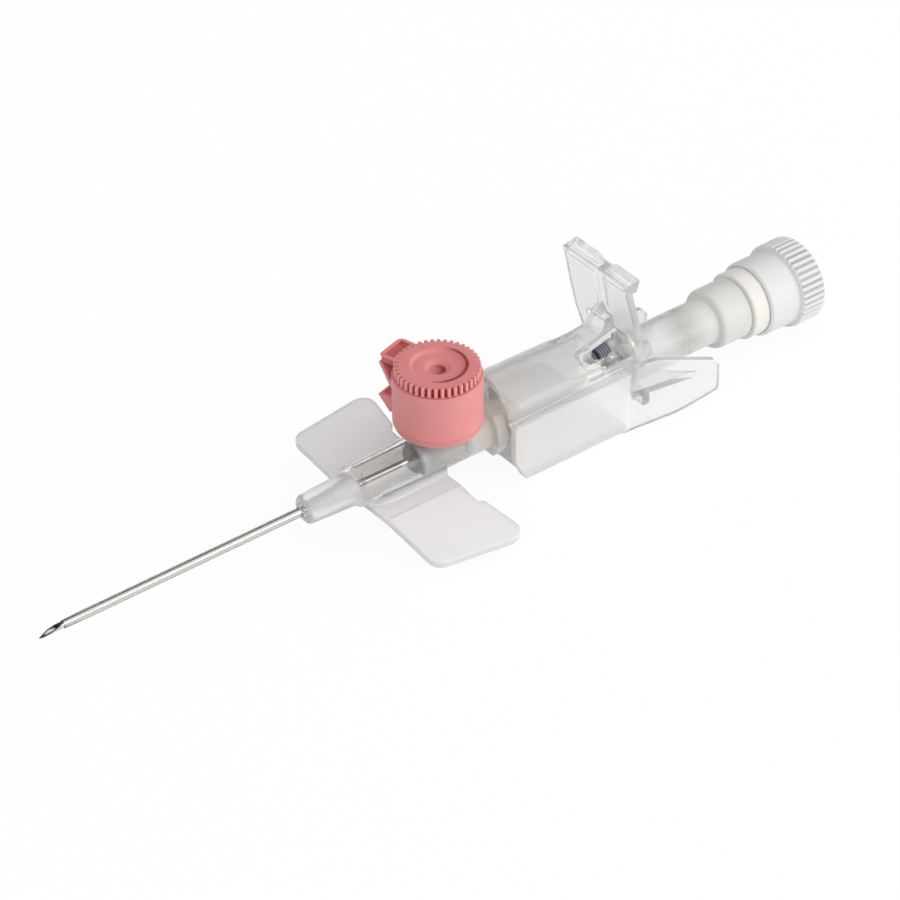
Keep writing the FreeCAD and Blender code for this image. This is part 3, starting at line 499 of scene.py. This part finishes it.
# The lid: the same pink plastic, with forty grip teeth round its edge, a shallow recess and a
# dimple over the port. It snaps into the collar and turns about its ear.
lid_voxel = 0.075
port_x = 18.89
lid_red = (0.80, 0.27, 0.265)
dimple_edge = (0.85, 1.05)
dimple_shade = (-0.42, -0.24, -0.23)
recess_foot = (3.05, 3.2)
recess_brink = (3.45, 3.6)
recess_shade = (-0.42, -0.23, -0.22)
crevice_foot = (4.2, 4.35)
crevice_mouth = (4.46, 4.80)
crevice_below_top = (0.1, 0.3)
crevice_shade = (-0.30, -0.25, -0.24)
tooth_tip_start = (4.70, 4.86)
tooth_tip_end = (4.98, 5.06)
tooth_tip_highlight = (0.05, 0.11, 0.10)
ear_start = (4.95, 5.05)
ear_well_below_top = (0.22, 0.42)
ear_well_shade = (-0.20, -0.14, -0.13)
pink_lid = moulded("cap_lid", "pink_lid", lid_voxel)
lid_satin, lid_skin = finish_named("lid_satin")
where, x, y, z = place_in_mm(lid_skin)
below_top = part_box("cap_lid")[1][2] / MM - z
from_port = lid_skin.node("ShaderNodeVectorMath", {"operation": "LENGTH"}, {
    0: where * (1.0, 1.0, 0.0) - (port_x, 0.0, 0.0)}, "Value")
keyward = (x - port_x) * key_side.x + y * key_side.y
# The crevices between the teeth are painted darker: painted shade.
shaded_crevice = lid_skin.step(from_port, *crevice_foot) * (1 - lid_skin.step(from_port, *crevice_mouth)) * (
    lid_skin.step(below_top, *crevice_below_top))
# The tips of the teeth are painted lighter: painted highlight.
highlit_tooth_tip = lid_skin.step(from_port, *tooth_tip_start) * (1 - lid_skin.step(from_port, *tooth_tip_end))
# The rim of the recess is painted darker on its side towards the key light: painted shade.
shaded_recess_rim = lid_skin.step(from_port, *recess_foot) * (1 - lid_skin.step(from_port, *recess_brink)) * (
    lid_skin.step(keyward, -0.5, 2.0))
# The dimple is painted darker, most on its side towards the key light: painted shade.
shaded_dimple = (1 - lid_skin.step(from_port, *dimple_edge)) * lid_skin.step(keyward, -0.6, 0.8, 0.2, 1.0)
# The ear below its top is painted darker: painted shade.
shaded_ear_well = lid_skin.step(from_port, *ear_start) * lid_skin.step(below_top, *ear_well_below_top)
surfaced(lid_skin, {
    **grained(lid_skin, shaded_crevice * crevice_shade + shaded_recess_rim * recess_shade + shaded_dimple * dimple_shade
              + shaded_ear_well * ear_well_shade + highlit_tooth_tip * tooth_tip_highlight + lid_red,
              rough=0.40, scale=8.0, depth=0.05, spread=0.10),
    "IOR": 1.5})
fit(pink_lid, "cap_lid", "lid", lid_satin)

# The needle: drawn stainless tube, with a long ground bevel and two lancet facets. It is polished,
# painted darker as painted shade where it runs inside the hub, and the grinding wheel leaves fine lines
# across the bevel.
bevel_angle = math.radians(14.5)
bevel_end = (3.0, 3.3)
bevel_depth = 0.39
ground_edge = (-0.11, -0.04)
ground_shade = (-0.56, -0.55, -0.53)
hub_stretch_start = (0.3, 1.5)
hub_stretch_end = (13.0, 14.0)
hub_stretch_shade = (-0.34, -0.32, -0.29)
needle_steel, polished = finish_named("needle_steel")
where, x, y, z = place_in_mm(polished)
tip_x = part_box("needle")[0][0] / MM
polish_lines = mottle(polished, where * (0.15, 4.0, 4.0), scale=3.0)
wheel_lines = mottle(polished, where * (12.0, 0.3, 1.0), scale=1.5)
bevelled = 1 - polished.step(x - tip_x, *bevel_end)
bevel_z = (x - tip_x) * math.tan(bevel_angle) - bevel_depth
# The ground bevel face is painted darker: painted shade.
shaded_bevel_face = bevelled * polished.step(z - bevel_z, *ground_edge)
# Where the needle runs inside the hub it is painted darker: painted shade.
shaded_in_hub = polished.step(x, *hub_stretch_start) * (1 - polished.step(x, *hub_stretch_end))
surfaced(polished, {
    "Base Color": (polish_lines - 0.5) * 0.05 + shaded_bevel_face * ground_shade + shaded_in_hub * hub_stretch_shade
                  + (0.68, 0.655, 0.625),
    "Roughness": polish_lines * 0.08 + bevelled * wheel_lines * 0.2 + 0.10,
    "Metallic": 1.0,
    "Normal": dented(polished, polish_lines + bevelled * wheel_lines, depth=0.004)})
clad("needle", needle_steel)

# The needle's shield: a white block with a conical nose that sits in the hub's socket. It slides
# along the needle, and goes off with it to cover the point.
shield_voxel = 0.13
nose_cream_end = (27.5, 29.5)
nose_cream_tint = (0.0, -0.06, -0.13)
white_shield = moulded("shield_body", "white_shield", shield_voxel, passes=3)
shield_white, shield_skin = finish_named("shield_white")
where, x, y, z = place_in_mm(shield_skin)
nose_cream = 1 - shield_skin.step(x, *nose_cream_end)
surfaced(shield_skin, {
    **grained(shield_skin, nose_cream * nose_cream_tint + (0.95, 0.95, 0.94),
              rough=0.40, scale=5.0, depth=0.01, spread=0.03),
    "Transmission Weight": 0.2})
fit(white_shield, "shield_body", "shield", shield_white)

# The shield's clip: spring steel strip, blanked and bent, with burnished lines along the strip. It
# rides in the shield and closes behind the needle's point.
clip_steel, strip = finish_named("clip_steel")
where = place_in_mm(strip)[0]
roll_lines = mottle(strip, where * (0.2, 8.0, 1.0), scale=1.2)
surfaced(strip, {
    "Base Color": (roll_lines - 0.5) * 0.08 + (0.55, 0.55, 0.54),
    "Roughness": roll_lines * 0.2 + 0.22,
    "Metallic": 1.0,
    "Normal": dented(strip, roll_lines, depth=0.008)})
clad("shield_clip", clip_steel)

# The grip: clear plastic moulding that the fingers hold, with canopy, box, finger plates and a
# thumb flange. Its mould is lightly blasted, and more so for the box's sides, so the shield shows
# only as a pale blur.
grip_voxel = 0.165
box_length = 16.5
box_end_fade = 0.5
box_matt_top = (1.7, 2.5)
box_milk = 0.85
front_warm_end = (0.2, 1.8)
front_warm_tint = (0.0, -0.03, -0.06)
clear_grip = moulded("needle_grip", "clear_grip", grip_voxel)
grip_clear, blasted = finish_named("grip_clear")
where, x, y, z = place_in_mm(blasted)
blast = mottle(blasted, where, scale=9.0)
flow = mottle(blasted, where * (0.3, 1.0, 1.0), scale=0.4)
from_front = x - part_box("needle_grip")[0][0] / MM
front_warmth = 1 - blasted.step(from_front, *front_warm_end)
box_matt = (1 - blasted.step(z, *box_matt_top)) * (
    1 - blasted.step(from_front, box_length, box_length + box_end_fade))
surfaced(blasted, {
    "Base Color": (flow - 0.5) * 0.03 + (0.985, 0.981, 0.973),
    "Roughness": flow * 0.03 + blast * 0.02 + 0.18,
    "Transmission Weight": 0.79,
    "IOR": 1.3,
    "Normal": dented(blasted, blast, depth=0.003)}, {
    "Base Color": (flow - 0.5) * 0.03 + front_warmth * front_warm_tint + (0.985, 0.983, 0.977),
    "Roughness": blast * 0.1 + 0.32,
    "Transmission Weight": 0.36,
    "IOR": 1.3,
    "Normal": dented(blasted, blast, depth=0.003)}, box_matt * box_milk)
fit(clear_grip, "needle_grip", "needle_unit", grip_clear)

# The needle hub: clear tube with the flash chamber behind it, glued over the needle's rear end.
# The chamber is left slightly milky by the blasted mould.
chamber_voxel = 0.14
milk_start_x = 52.5
milk_full_x = 57.5
clear_chamber = moulded("needle_hub", "clear_chamber", chamber_voxel)
chamber_clear, chamber = finish_named("chamber_clear")
where, x, y, z = place_in_mm(chamber)
haze = mottle(chamber, where, scale=3.0)
milky = chamber.step(x, milk_start_x, milk_full_x)
surfaced(chamber, {
    "Base Color": (haze - 0.5) * 0.02 + (0.985, 0.983, 0.975),
    "Roughness": haze * 0.04 + 0.19,
    "Transmission Weight": 0.80,
    "IOR": 1.3,
    "Normal": dented(chamber, haze, depth=0.002)}, {
    "Base Color": (haze - 0.5) * 0.02 + (0.98, 0.983, 0.958),
    "Roughness": haze * 0.1 + 0.27,
    "Transmission Weight": 0.34,
    "IOR": 1.3,
    "Normal": dented(chamber, haze, depth=0.002)}, milky)
fit(clear_chamber, "needle_hub", "needle_unit", chamber_clear)

# The coil: dark blue-grey wire, wound close on the hub's peg and square to the leaning flange. Its
# turns touch, and its front end is closed by a drop of glue.
coil_low, coil_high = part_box("hub_coil")
coil_radius = 0.74
coil_tilt = math.radians(12.7)
coil_bore = 0.45
coil_turns = 5
coil_clearance = 0.02
coil_half = ((coil_high[0] - coil_low[0]) / MM - 2 * coil_radius * math.sin(coil_tilt)) / (
    2 * math.cos(coil_tilt)) - coil_clearance
glue_round = 0.35
glue_radius = 0.70
glue_thickness = 0.15
glue_pinhole = 0.02
coil_pitch = (2 * coil_half - glue_round) / coil_turns
coil_outline = [(-coil_half, glue_pinhole)] + corner_arc(
    glue_round - coil_half, glue_radius - glue_round, glue_round, 180, 90)
for turn in range(coil_turns):
    turn_middle = coil_half - (coil_turns - turn - 0.5) * coil_pitch
    coil_outline += corner_arc(turn_middle, coil_radius - coil_pitch / 2, coil_pitch / 2, 175, 5, count=7)
coil_outline += [
    (coil_half, coil_bore),
    (glue_thickness - coil_half, coil_bore),
    (glue_thickness - coil_half, glue_pinhole),
]
dark_winding = turned("dark_winding", coil_outline, sides=40, crease=50.0)
coil_middle = Vector([(low + high) / 2 for low, high in zip(coil_low, coil_high)])
dark_winding.data.transform(Matrix.Translation(coil_middle) @ Matrix.Rotation(-coil_tilt, 4, "Y"))
coil_dark, winding = finish_named("coil_dark")
crown_start = 0.10
crown_end = 0.01
crown_highlight_tint = (0.30, 0.33, 0.38)
where = place_in_mm(winding)[0]
wear = mottle(winding, where, scale=3.0)
coil_way = Vector((math.cos(coil_tilt), 0.0, math.sin(coil_tilt)))
off_middle = where - tuple(coil_middle / MM)
along = winding.node("ShaderNodeVectorMath", {"operation": "DOT_PRODUCT"}, {
    0: off_middle, 1: coil_way}, "Value")
on_coil_axis = winding.node("ShaderNodeVectorMath", {"operation": "SCALE"}, {0: coil_way, "Scale": along})
from_coil_axis = winding.node("ShaderNodeVectorMath", {"operation": "LENGTH"}, {
    0: off_middle - on_coil_axis}, "Value")
# The crowns of the turns are painted lighter: painted highlight.
crown_highlight = winding.step(from_coil_axis, coil_radius - crown_start, coil_radius - crown_end)
surfaced(winding, {
    "Base Color": (wear - 0.5) * 0.04 + crown_highlight * crown_highlight_tint + (0.012, 0.014, 0.022),
    "Roughness": wear * 0.2 + 0.35,
    "Metallic": 0.3,
    "Normal": dented(winding, wear, depth=0.02)})
fit(dark_winding, "hub_coil", "needle_unit", coil_dark)

# The filter housing: ivory plastic ring, moulded in one shot and pushed into the rear of the
# flash chamber. It carries the vent filter and the rear plug.
housing_voxel = 0.11
ivory_housing = moulded("filter_housing", "ivory_housing", housing_voxel)
housing_ivory, ivory = finish_named("housing_ivory")
surfaced(ivory, {
    **grained(ivory, (0.985, 0.97, 0.90), rough=0.30, scale=6.0, depth=0.003, spread=0.03),
    "Transmission Weight": 0.12,
    "IOR": 1.3})
fit(ivory_housing, "filter_housing", "needle_unit", housing_ivory)

# The vent filter: a disc of sintered white beads, pressed into the housing. It lets air out and
# holds blood back.
filter_white, sintered = finish_named("filter_white")
where = place_in_mm(sintered)[0]
beads = sintered.node("ShaderNodeTexVoronoi", None, {"Vector": where, "Scale": 5.0}, "Distance")
surfaced(sintered, {
    "Base Color": (1 - beads) * 0.12 + (0.78, 0.78, 0.77),
    "Roughness": beads * 0.2 + 0.7,
    "Normal": dented(sintered, 1 - beads, depth=0.08)})
clad("vent_filter", filter_white)

# The rear plug: white satin plastic with forty grip ribs. It plugs the filter housing and is pulled
# off to vent the chamber.
plug_voxel = 0.10
rib_length = 3.5
rib_fade = 0.4
valley_floor = (4.65, 4.75)
valley_mouth = (4.84, 5.08)
valley_shade = (-0.28, -0.29, -0.31)
white_plug = moulded("lock_plug", "white_plug", plug_voxel)
plug_white, plug_skin = finish_named("plug_white")
where, x, y, z = place_in_mm(plug_skin)
ribs_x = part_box("lock_plug")[1][0] / MM - rib_length
from_axis = plug_skin.node("ShaderNodeVectorMath", {"operation": "LENGTH"}, {
    0: where * (0.0, 1.0, 1.0)}, "Value")
# The valleys between the ribs are painted darker: painted shade.
shaded_rib_valley = plug_skin.step(from_axis, *valley_floor) * (1 - plug_skin.step(from_axis, *valley_mouth)) * (
    plug_skin.step(x, ribs_x, ribs_x + rib_fade))
surfaced(plug_skin, grained(plug_skin, shaded_rib_valley * valley_shade + (0.80, 0.80, 0.80),
                            rough=0.40, scale=6.0, depth=0.01, spread=0.02))
fit(white_plug, "lock_plug", "plug", plug_white)
